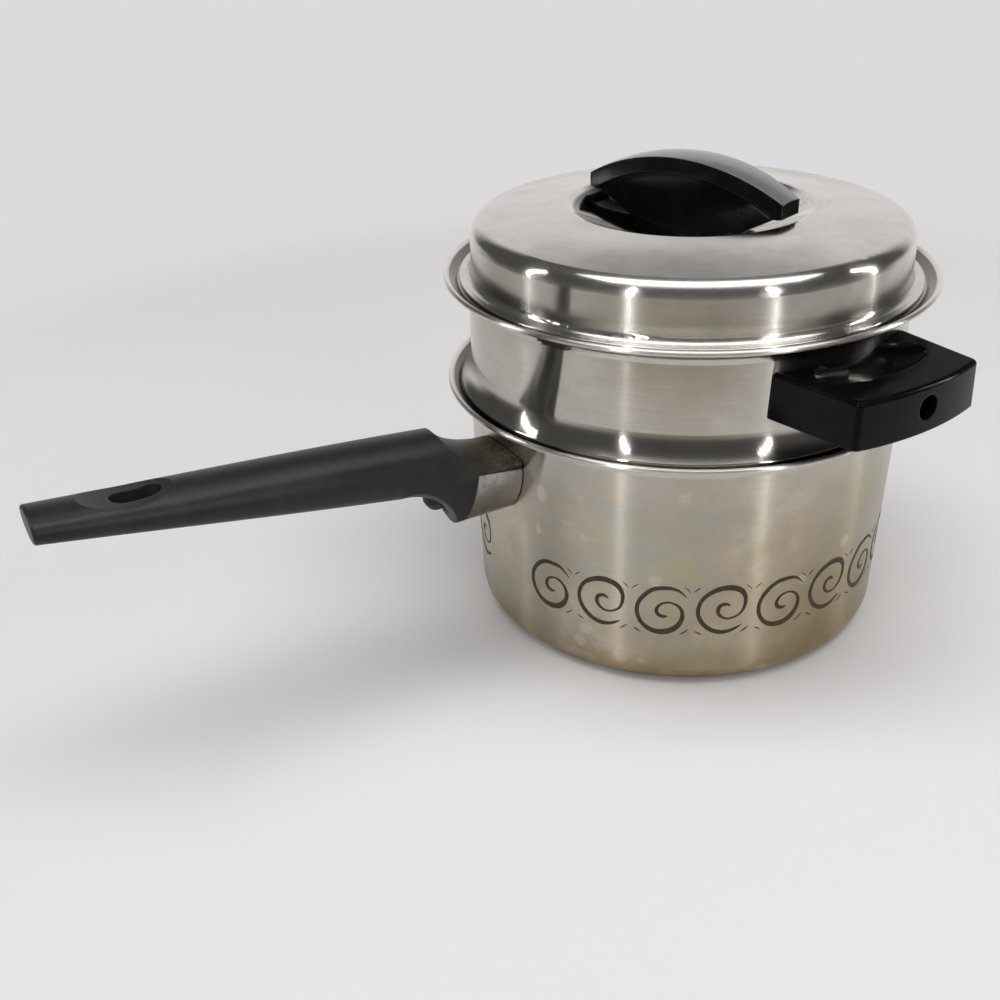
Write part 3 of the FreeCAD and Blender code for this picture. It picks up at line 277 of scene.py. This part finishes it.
def heat_tint(graph, colour):
    """Straw and brown heat colours that deepen towards the bottom, under a mottled film and dried water."""
    patches = graph.noise(scale=28.0, detail=3.0, roughness=0.55)
    spots = graph.noise(scale=90.0, detail=5.0, roughness=0.65)
    wide = graph.noise(scale=13.0, detail=2.0, roughness=0.5)
    film = FILM_LEAST
    for mottle, share in ((patches, 0.35), (spots, 0.45), (wide, 0.50)):
        film = graph.math("MULTIPLY_ADD", mottle, share, film)
    colour = graph.blend(graph.zone(graph.z, *FILM_HEIGHTS, 0.2, 0.8), colour, graph.ramp(film, FILM))
    straw = graph.times(
        graph.zone(graph.z, *STRAW_HEIGHTS, 0.35, 0.95), graph.fit(patches, 0.3, 0.7, 0.6, 1.0),
        graph.zone(graph.along(PHOTO_RIGHT), *STRAW_ACROSS, 0.35, 1.0))
    colour = graph.blend(straw, colour, STRAW)
    burnt = graph.times(
        graph.zone(graph.z, *BURNT_HEIGHTS), graph.fit(spots, 0.38, 0.60, 0.35, 1.0), BURNT_SHARE)
    return dried_water(graph, graph.blend(burnt, colour, BURNT))


# Dried drips on the saucepan's wall: azimuth and height of the middle, half width and half height,
# in degrees across and millimetres up, and how ragged the edges of dried water are
DRIPS = [(193.0, 82.0, 1.5, 5.5), (195.5, 72.0, 1.6, 3.6), (194.0, 56.0, 1.0, 2.6), (25.0, 70.0, 1.2, 3.0)]
RAGGED = 1.6


def dried_water(graph, colour):
    """Pale water marks and drips with ragged edges."""
    ragged = graph.times(graph.math("SUBTRACT", graph.noise(scale=420.0), 0.5), RAGGED)
    cells = graph.add("ShaderNodeTexVoronoi", {"Vector": graph.coords, "Scale": 60.0})
    chosen = graph.add("ShaderNodeSeparateColor", {0: cells.outputs["Color"]}).outputs[0]
    edge = graph.math("MULTIPLY_ADD", ragged, 0.06, cells.outputs["Distance"])
    marks = graph.times(graph.fit(edge, 0.20, 0.10, 0.0, 0.35), graph.fit(chosen, 0.55, 0.62))
    colour = graph.blend(marks, colour, WATER_MARK)
    around = graph.math("ARCTAN2", graph.times(graph.y, -1.0), graph.times(graph.x, -1.0))
    drips = 0.0
    for azimuth, height, half_width, half_height in DRIPS:
        across = graph.span(around, math.radians(azimuth - 180), math.radians(half_width))
        up = graph.span(graph.z, height * MM, half_height * MM)
        away = graph.math("ADD", graph.math("POWER", across, 2.0), graph.math("POWER", up, 2.0))
        drip = graph.fit(graph.math("ADD", away, ragged), 1.2, 0.5, 0.0, 0.5)
        drips = graph.math("MAXIMUM", drips, drip)
    return graph.blend(drips, colour, DRIED_DRIP)


def warm_tint(graph, colour):
    """A faint warm cast, uneven where the wall has been wiped."""
    wiped = graph.noise(scale=35.0, detail=4.0, roughness=0.6)
    return graph.blend(graph.fit(wiped, 0.3, 0.7, 0.25, 0.6), colour, WARM_STEEL)


def saucepan_steel():
    graph = Graph("saucepan_steel")
    rim = graph.zone(graph.z, PAN_WALL_TOP - 0.6, PAN_WALL_TOP + 0.2)
    # The trough's darkening here is painted shade
    return steel(
        graph, polished=rim, bright=0.16, satin=0.20, turned=0.2, brushed=0.45,
        painted_shade_and_scuffs=trough_painted_shade(graph, PAN_TROUGH), tint=heat_tint)


def insert_steel():
    graph = Graph("insert_steel")
    shoulder = graph.zone(graph.z, INSERT_FLARE_TOP + 0.2, INSERT_FLARE_TOP - 0.4)
    rim = graph.zone(graph.z, INSERT_RIM - 1.2, INSERT_RIM - 0.4)
    # The trough's darkening here is painted shade
    return steel(
        graph, polished=graph.math("MAXIMUM", shoulder, rim), bright=0.14, satin=0.11, turned=0.2,
        brushed=0.20, painted_shade_and_scuffs=trough_painted_shade(graph, INSERT_TROUGH), tint=warm_tint)


# The dish's dark patch under the knob's left end: its darkness and where it sets in across the photograph,
# and a scuffed patch on the dome: its middle and radius, in millimetres
DISH_SHADE = 0.93
DISH_SHADE_ACROSS = (-6.0, -22.0)
SCUFF = (34.0, -26.0, 14.0)


def dish_shade(graph):
    """A dark patch in the dish that stands in for the knob's reflection there."""
    return graph.times(
        graph.zone(graph.radius, DISH_RADIUS - 1.5, DISH_RADIUS - 3.0),
        graph.zone(graph.along(PHOTO_RIGHT), *DISH_SHADE_ACROSS), DISH_SHADE)


def dome_scuff(graph):
    """Faint specks on the dome beside the knob's right end."""
    x, y, radius = SCUFF
    away = graph.length(
        graph.span(graph.x, x * MM, radius * MM), graph.span(graph.y, y * MM, radius * MM))
    specks = graph.noise(scale=700.0, detail=4.0, roughness=0.7)
    return graph.times(graph.fit(away, 1.0, 0.2), graph.fit(specks, 0.48, 0.66, 0.0, 0.45))


def lid_steel():
    graph = Graph("lid_steel")
    # The dish's darkening is a painted reflection of the knob, and the dome's specks are scuffs
    return steel(
        graph, polished=graph.zone(graph.radius, DISH_RADIUS + 25, DISH_RADIUS + 4), bright=0.08, satin=0.14,
        turned=0.12, brushed=graph.zone(graph.z, LID_TOP - 3.5, LID_TOP - 6.5, 0.1, 0.65),
        painted_shade_and_scuffs=graph.math("MAXIMUM", dish_shade(graph), dome_scuff(graph)))


# Phenolic: rounding of its edges and depth of its grain in millimetres, what unworn spots lose in
# roughness and wear adds, how much paler wear is, and the upward part of a level face's normal
EDGE_ROUND = 0.7
GRAIN_DEPTH = 0.04
WEAR_BASE = 0.05
WEAR_ROUGH = 0.12
WEAR_SHADE = 1.9
LEVEL = (0.55, 0.85)


def phenolic(name, colour, roughness, ior, grain, shine=(0.5, 0.5), dust_and_sheen=0.0, crust=None):
    """Moulded black phenolic, with fine surface grain and rounded, lightly worn edges.

    shine is the specular level on upright and on level faces, which hands have
    polished, and dust_and_sheen is how much dust lies on the level ones, also standing in as a painted sheen.
    crust adds baked-on food."""
    graph = Graph(name)
    fine = graph.noise(scale=2600.0, detail=2.0)
    wear = graph.noise(scale=90.0, detail=5.0, roughness=0.65)
    sharp = graph.add("ShaderNodeNewGeometry").outputs["Normal"]
    soft = graph.add("ShaderNodeBevel", {"Radius": EDGE_ROUND * MM}, samples=4).outputs["Normal"]
    upward = graph.add("ShaderNodeSeparateXYZ", {0: sharp}).outputs["Z"]
    shade = graph.blend(graph.fit(wear, 0.4, 0.75), colour, scaled(colour, WEAR_SHADE))
    if crust:
        shade = crust(graph, shade)
    edge = graph.times(graph.fit(graph.dot(soft, sharp), 0.995, 0.90), graph.fit(wear, 0.35, 0.6, 0.2, 0.8))
    shade = graph.blend(edge, shade, WORN_EDGE)
    # Dust on level faces, which on the knob also stands in as a painted sheen
    shade = graph.blend(graph.fit(upward, *LEVEL, 0.0, dust_and_sheen), shade, DUST_AND_SHEEN)
    return graph.surface(
        Base_Color=shade, Roughness=graph.math("MULTIPLY_ADD", wear, WEAR_ROUGH, roughness - WEAR_BASE),
        IOR=ior, Specular_IOR_Level=graph.fit(upward, *LEVEL, *shine),
        Normal=graph.bump(fine, grain, GRAIN_DEPTH * MM, soft))


# Radii between which the film and the crust set in on the thumb scoop
SCOOP_FILM_RADII = (116.0, 96.0)
SCOOP_CRUST_RADII = (101.0, 86.0)


def scoop_crust(graph, shade):
    """Brown film on the thumb scoop, with a yellow crust that thickens towards the pan."""
    above = graph.zone(graph.z, HANDLE_SCOOP, HANDLE_SCOOP + 1.5)
    uneven = graph.fit(graph.noise(scale=160.0, detail=4.0, roughness=0.6), 0.25, 0.6, 0.35, 1.0)
    film = graph.times(above, graph.zone(graph.radius, *SCOOP_FILM_RADII), uneven)
    shade = graph.blend(film, shade, SCOOP_FILM)
    crumbs = graph.fit(graph.noise(scale=620.0, detail=5.0, roughness=0.7), 0.42, 0.62)
    crust = graph.times(above, graph.zone(graph.radius, *SCOOP_CRUST_RADII), crumbs)
    return graph.blend(crust, shade, SCOOP_CRUST)


# Handling marks on the fixings: how far they change the roughness, and how dark they are
MARK_ROUGH = 0.16
MARK_SHADE = 0.7


def plain_metal(name, colour, roughness):
    """Small fixings: plated steel or brass with handling marks."""
    graph = Graph(name)
    marks = graph.noise(scale=400.0, detail=4.0, roughness=0.6)
    return graph.surface(
        Base_Color=graph.blend(graph.fit(marks, 0.4, 0.7), colour, scaled(colour, MARK_SHADE)), Metallic=1.0,
        Roughness=graph.math("MULTIPLY_ADD", marks, MARK_ROUGH, roughness - MARK_ROUGH / 2))


def etched_brown():
    """The scroll band's etching, worn paler in specks."""
    graph = Graph("etched_brown")
    worn = graph.noise(scale=1500.0, detail=4.0, roughness=0.7)
    return graph.surface(
        Base_Color=graph.blend(graph.fit(worn, 0.45, 0.75), ETCHED_BROWN, WORN_BROWN),
        Metallic=0.1, IOR=1.3, Roughness=graph.fit(worn, 0.3, 0.7, 0.42, 0.6))


def dress(material, *nodes):
    """Gives CAD nodes their finished material."""
    for node in nodes:
        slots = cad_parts[node].data.materials
        slots.clear()
        slots.append(material)


def dress_nodes():
    dress(saucepan_steel(), "saucepan_body")
    dress(insert_steel(), "insert_body")
    dress(lid_steel(), "lid_shell")
    matte = phenolic("handle_phenolic", HANDLE_BLACK, roughness=0.42, ior=1.38, grain=0.25, crust=scoop_crust)
    dress(matte, "handle_grip")
    gloss = phenolic("gloss_phenolic", GLOSS_BLACK, roughness=0.15, ior=1.22, grain=0.05, shine=(0.5, 0.06))
    dress(gloss, "side_handle_grip")
    # The knob's dust on its top also stands in as a painted sheen
    knob = phenolic(
        "knob_phenolic", KNOB_BLACK, roughness=0.17, ior=1.50, grain=0.05, shine=(0.2, 1.0), dust_and_sheen=0.55)
    dress(knob, "lid_knob")
    dress(plain_metal("guard_steel", GUARD_STEEL, 0.22), "flame_guard")
    dress(plain_metal("zinc_plate", ZINC, 0.35), "handle_bracket", "side_handle_bracket",
          "side_handle_screw", "side_handle_washer", "lid_screw", "lid_washer")
    dress(plain_metal("blackened_steel", BLACKENED_STEEL, 0.40), "handle_screw", "handle_lock_washer")
    dress(plain_metal("brass", BRASS, 0.3), "knob_insert")


def add_mesh(name, verts, faces, material):
    mesh = bpy.data.meshes.new(name)
    mesh.from_pydata(verts, [], faces)
    mesh.materials.append(material)
    obj = bpy.data.objects.new(name, mesh)
    scene.collection.objects.link(obj)
    return obj


# Etched scroll band: centre lines of the two scrolls in millimetres round and up from their
# middle, with the stroke's width at each point, from the outer tail to the inner end
SCROLL_A = [
    (9.4, 5.8, 0.15), (8.0, 7.5, 0.55), (5.5, 9.3, 1.0), (1.6, 9.7, 1.4), (-2.4, 8.8, 1.45),
    (-5.8, 5.8, 1.45), (-7.9, 1.9, 1.35), (-8.1, -2.4, 1.4), (-6.3, -6.5, 1.45), (-2.9, -9.1, 1.7),
    (1.2, -9.6, 2.0), (5.1, -8.1, 2.0), (7.6, -4.9, 1.6), (8.2, -1.3, 1.3), (6.8, 1.9, 0.95),
    (3.7, 3.5, 0.65), (0.6, 2.8, 0.8), (-1.1, 0.4, 1.2), (-0.6, -1.8, 1.3), (1.2, -2.7, 1.15),
    (2.9, -2.5, 0.35)]
SCROLL_B = [
    (7.9, -7.0, 0.2), (5.9, -8.2, 0.85), (3.4, -9.3, 1.2), (0.1, -9.6, 1.55), (-3.4, -8.4, 1.55),
    (-6.4, -5.7, 1.55), (-8.2, -2.1, 1.4), (-8.4, 1.4, 1.3), (-6.9, 5.4, 1.3), (-3.8, 8.2, 1.6),
    (-0.2, 9.6, 1.9), (3.4, 9.6, 2.0), (6.6, 8.2, 1.85), (8.4, 5.4, 1.4), (8.6, 2.1, 1.2),
    (7.6, -1.1, 0.9), (5.5, -3.0, 0.7), (2.6, -3.8, 0.7), (0.0, -2.7, 1.0), (-1.3, -0.4, 1.3),
    (-0.6, 2.0, 1.3), (1.6, 2.7, 1.1), (3.2, 1.7, 0.3)]
FLICKS = [
    [(-3.6, -10.4, 0.1), (-2.0, -9.4, 0.45), (-0.5, -8.0, 0.1)],
    [(1.8, -8.9, 0.1), (3.1, -9.8, 0.5), (4.5, -10.6, 0.1)],
    [(-2.6, 10.2, 0.1), (-1.4, 9.4, 0.3), (-0.4, 8.1, 0.1)],
    [(0.8, 8.2, 0.1), (1.9, 9.3, 0.35), (3.2, 10.2, 0.1)]]

# The band: its scrolls' count, first azimuth and pitch in degrees, its height and how proud it lies in
# millimetres, the steps between two points, and the strokes' widening and least width
SCROLL_COUNT = 22
SCROLL_START = 197.0
SCROLL_PITCH = (360.0 - 2 * (SCROLL_START - 180.0)) / (SCROLL_COUNT - 1)
SCROLL_HEIGHT = 34.0
SCROLL_PROUD = 0.04
SCROLL_STEPS = 6
FLICK_STEPS = 4
STROKE_WIDENED = 1.12
STROKE_LEAST = 0.08


def smooth_line(points, steps):
    """A smooth curve through the points, with the stroke's width carried along."""
    line = []
    last = len(points) - 1
    for here in range(last):
        ends = [Vector(points[min(max(here + k, 0), last)]) for k in (-1, 0, 1, 2)]
        for part in range(steps + (here == last - 1)):
            t = part / steps
            line.append(0.5 * (2 * ends[1] + (ends[2] - ends[0]) * t
                               + (2 * ends[0] - 5 * ends[1] + 4 * ends[2] - ends[3]) * t ** 2
                               + (3 * ends[1] - ends[0] - 3 * ends[2] + ends[3]) * t ** 3))
    return line


def wall_radius(up):
    """The radius of the saucepan's leaning wall at a height, in millimetres."""
    return PAN_WALL - (PAN_WALL_TOP - up) * math.tan(PAN_DRAFT)


def wall_point(around, up):
    """A point just proud of the wall, from its angle and its height in millimetres."""
    radius = wall_radius(up) + SCROLL_PROUD
    return Vector((radius * math.cos(around), radius * math.sin(around), up)) * MM


def add_stroke(verts, faces, points, azimuth, steps):
    """Lays one tapering stroke on the wall."""
    line = smooth_line(points, steps)
    first = len(verts)
    middle_radius = wall_radius(SCROLL_HEIGHT)
    for here, spot in enumerate(line):
        ahead = line[min(here + 1, len(line) - 1)] - line[max(here - 1, 0)]
        width = max(STROKE_WIDENED * spot.z, STROKE_LEAST)
        side = Vector((-ahead.y, ahead.x)).normalized() * width / 2
        for sign in (1, 0, -1):
            flat = Vector((spot.x, spot.y)) + sign * side
            around = math.radians(azimuth) + flat.x / middle_radius
            verts.append(wall_point(around, SCROLL_HEIGHT + flat.y))
        if here:
            a = first + 3 * (here - 1)
            faces.append((a, a + 1, a + 4, a + 3))
            faces.append((a + 1, a + 2, a + 5, a + 4))


def make_scroll_band():
    """Scrolls of two kinds in turn round the wall, with a break at the handle and flicks between them."""
    verts, faces = [], []
    for index in range(SCROLL_COUNT):
        azimuth = SCROLL_START + index * SCROLL_PITCH
        add_stroke(verts, faces, SCROLL_B if index % 2 else SCROLL_A, azimuth, SCROLL_STEPS)
        if index < SCROLL_COUNT - 1:
            for flick in FLICKS:
                add_stroke(verts, faces, flick, azimuth + SCROLL_PITCH / 2, FLICK_STEPS)
    band = add_mesh("scroll_band", verts, faces, etched_brown())
    band.data.polygons.foreach_set("use_smooth", [True] * len(faces))
    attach(band, "saucepan")


# Camera at the photograph's viewpoint: its place and aim in the shared frame, and a little roll
CAMERA_PLACE = Vector((-278.0, -337.3, 276.3)) * MM
CAMERA_AIM = Vector((0.43490, 0.75850, -0.48527))
CAMERA_ROLL = math.radians(-1.96)
CAMERA_LENS = 42.34


def make_camera():
    data = bpy.data.cameras.new("camera")
    data.lens = CAMERA_LENS
    data.sensor_width = 36.0
    data.clip_start = 0.01
    camera = bpy.data.objects.new("camera", data)
    scene.collection.objects.link(camera)
    forward = CAMERA_AIM.normalized()
    level = forward.cross(Vector((0, 0, 1))).normalized()
    upright = level.cross(forward)
    right = level * math.cos(CAMERA_ROLL) + upright * math.sin(CAMERA_ROLL)
    up = right.cross(forward)
    turn = Matrix((right, up, -forward)).transposed()
    camera.matrix_world = Matrix.Translation(CAMERA_PLACE) @ turn.to_4x4()
    scene.camera = camera


def lamp(name, place, rotation, size, power):
    """A rectangular lamp that the camera doesn't see."""
    data = bpy.data.lights.new(name, "AREA")
    data.shape = "RECTANGLE"
    data.size, data.size_y = size
    data.energy = power
    obj = bpy.data.objects.new(name, data)
    obj.location = place
    obj.rotation_euler = rotation
    obj.visible_camera = False
    scene.collection.objects.link(obj)
    return obj


# Panels overhead, which face down: place and size in metres, power in watts, and their turn about Z
PANELS = [("panel", (0.10, -0.20, 2.1), (2.6, 1.0), 31), ("panel_front", (-0.275, -0.85, 2.1), (2.2, 0.5), 5)]
PANEL_TURN = math.radians(-30)

# Lamps round the pan: azimuth in degrees and share of the power, then what all of them share
ROUND_LAMPS = [("left", -155.5, 1.0), ("front", -86.0, 1.0), ("right", -30.0, 1.0), ("far_left", 148.5, 0.8)]
ROUND_POWER = 6.0
ROUND_ELEVATION = math.radians(18)
ROUND_AWAY = 1.7
ROUND_AIM = Vector((0, 0, 0.1))
STRIP_SIZE = (0.03, 1.1)
SOFT_SIZE = (1.2, 1.1)


def round_lamp(name, azimuth, size, power):
    """A lamp that stands away from the pan in a direction and faces it."""
    across = math.radians(azimuth)
    level = math.cos(ROUND_ELEVATION)
    way = Vector((level * math.cos(across), level * math.sin(across), math.sin(ROUND_ELEVATION)))
    facing = (-way).to_track_quat("-Z", "Y").to_euler()
    return lamp(name, ROUND_AIM + ROUND_AWAY * way, facing, size, power)


def make_light():
    """Panels overhead, and round the pan narrow strips that only mirrors show, with as much soft light."""
    for name, place, size, power in PANELS:
        lamp(name, place, (0.0, 0.0, PANEL_TURN), size, power)
    for name, azimuth, share in ROUND_LAMPS:
        strip = round_lamp("strip_" + name, azimuth, STRIP_SIZE, ROUND_POWER * share)
        strip.visible_diffuse = False
        soft = round_lamp("soft_" + name, azimuth, SOFT_SIZE, ROUND_POWER * share)
        soft.visible_glossy = False


# The room: colours of its parts, the background that the camera sees, and the way to the backdrop
ROOM = (0.09, 0.09, 0.09, 1)
TABLE = (0.45, 0.405, 0.30, 1)
CEILING = (0.16, 0.16, 0.16, 1)
BACKDROP = (0.85, 0.84, 0.845, 1)
BACKGROUND = (0.72, 0.70, 0.72, 1)
BACKDROP_AZIMUTH = math.radians(48)

# Parts of the room by the upward part of a direction, and the backdrop's edges by its share of the way there
TABLE_EDGE = (-0.12, -0.40)
CEILING_EDGE = (0.70, 0.90)
BACKDROP_TOP = (0.66, 0.46)
BACKDROP_STEP = (-0.12, 0.06)
LOW_EDGES = (0.30, 0.70)
HIGH_EDGES = (0.62, 0.88)


def make_world():
    """A dim room with a tan table, a pale backdrop that metal mirrors, and the camera's pale background."""
    world = bpy.data.worlds.new("studio")
    scene.world = world
    world.use_nodes = True
    tree = Tree(world.node_tree)
    way = tree.add("ShaderNodeTexCoord").outputs["Generated"]
    height = tree.add("ShaderNodeSeparateXYZ", {0: way}).outputs["Z"]
    behind = tree.dot(way, (math.cos(BACKDROP_AZIMUTH), math.sin(BACKDROP_AZIMUTH), 0.0))
    width = tree.between(
        tree.fit(height, *BACKDROP_STEP), tree.fit(behind, *LOW_EDGES), tree.fit(behind, *HIGH_EDGES))
    backdrop = tree.times(width, tree.fit(height, *BACKDROP_TOP))
    colour = tree.blend(tree.fit(height, *TABLE_EDGE), ROOM, TABLE)
    colour = tree.blend(tree.fit(height, *CEILING_EDGE), colour, CEILING)
    path = tree.add("ShaderNodeLightPath").outputs
    mirrored = tree.math("MAXIMUM", path["Is Glossy Ray"], path["Is Transmission Ray"])
    colour = tree.blend(tree.times(mirrored, backdrop), colour, BACKDROP)
    colour = tree.blend(path["Is Camera Ray"], colour, BACKGROUND)
    tree.put(tree.nodes["Background"].inputs["Color"], colour)


# The floor, in metres: its radius, where its fade starts, and where it ends towards the camera
FLOOR_REACH = 0.62
FLOOR_EDGE = 0.01
FLOOR_FADE = 0.46
FLOOR_FRONT = (0.39, 0.29)
FLOOR_CORNERS = 96


def floor_cloth():
    """Pale cloth that fades out towards its rim."""
    graph = Graph("floor_cloth")
    fade = graph.times(
        graph.fit(graph.radius, FLOOR_REACH - FLOOR_EDGE, FLOOR_FADE),
        graph.fit(graph.along(PHOTO_FRONT), *FLOOR_FRONT))
    weave = graph.noise(scale=900.0, detail=2.0)
    return graph.surface(
        Base_Color=CLOTH, Roughness=0.95, Specular_IOR_Level=0.2, Alpha=fade,
        Normal=graph.bump(weave, 0.1, 0.2 * MM))


def make_floor():
    """A round floor under the pan, which fades into the background."""
    turns = [math.tau * corner / FLOOR_CORNERS for corner in range(FLOOR_CORNERS)]
    rim = [(FLOOR_REACH * math.cos(turn), FLOOR_REACH * math.sin(turn), 0) for turn in turns]
    floor = add_mesh("floor", rim, [tuple(range(FLOOR_CORNERS))], floor_cloth())


dress_nodes()
make_scroll_band()
make_camera()
make_light()
make_world()
make_floor()
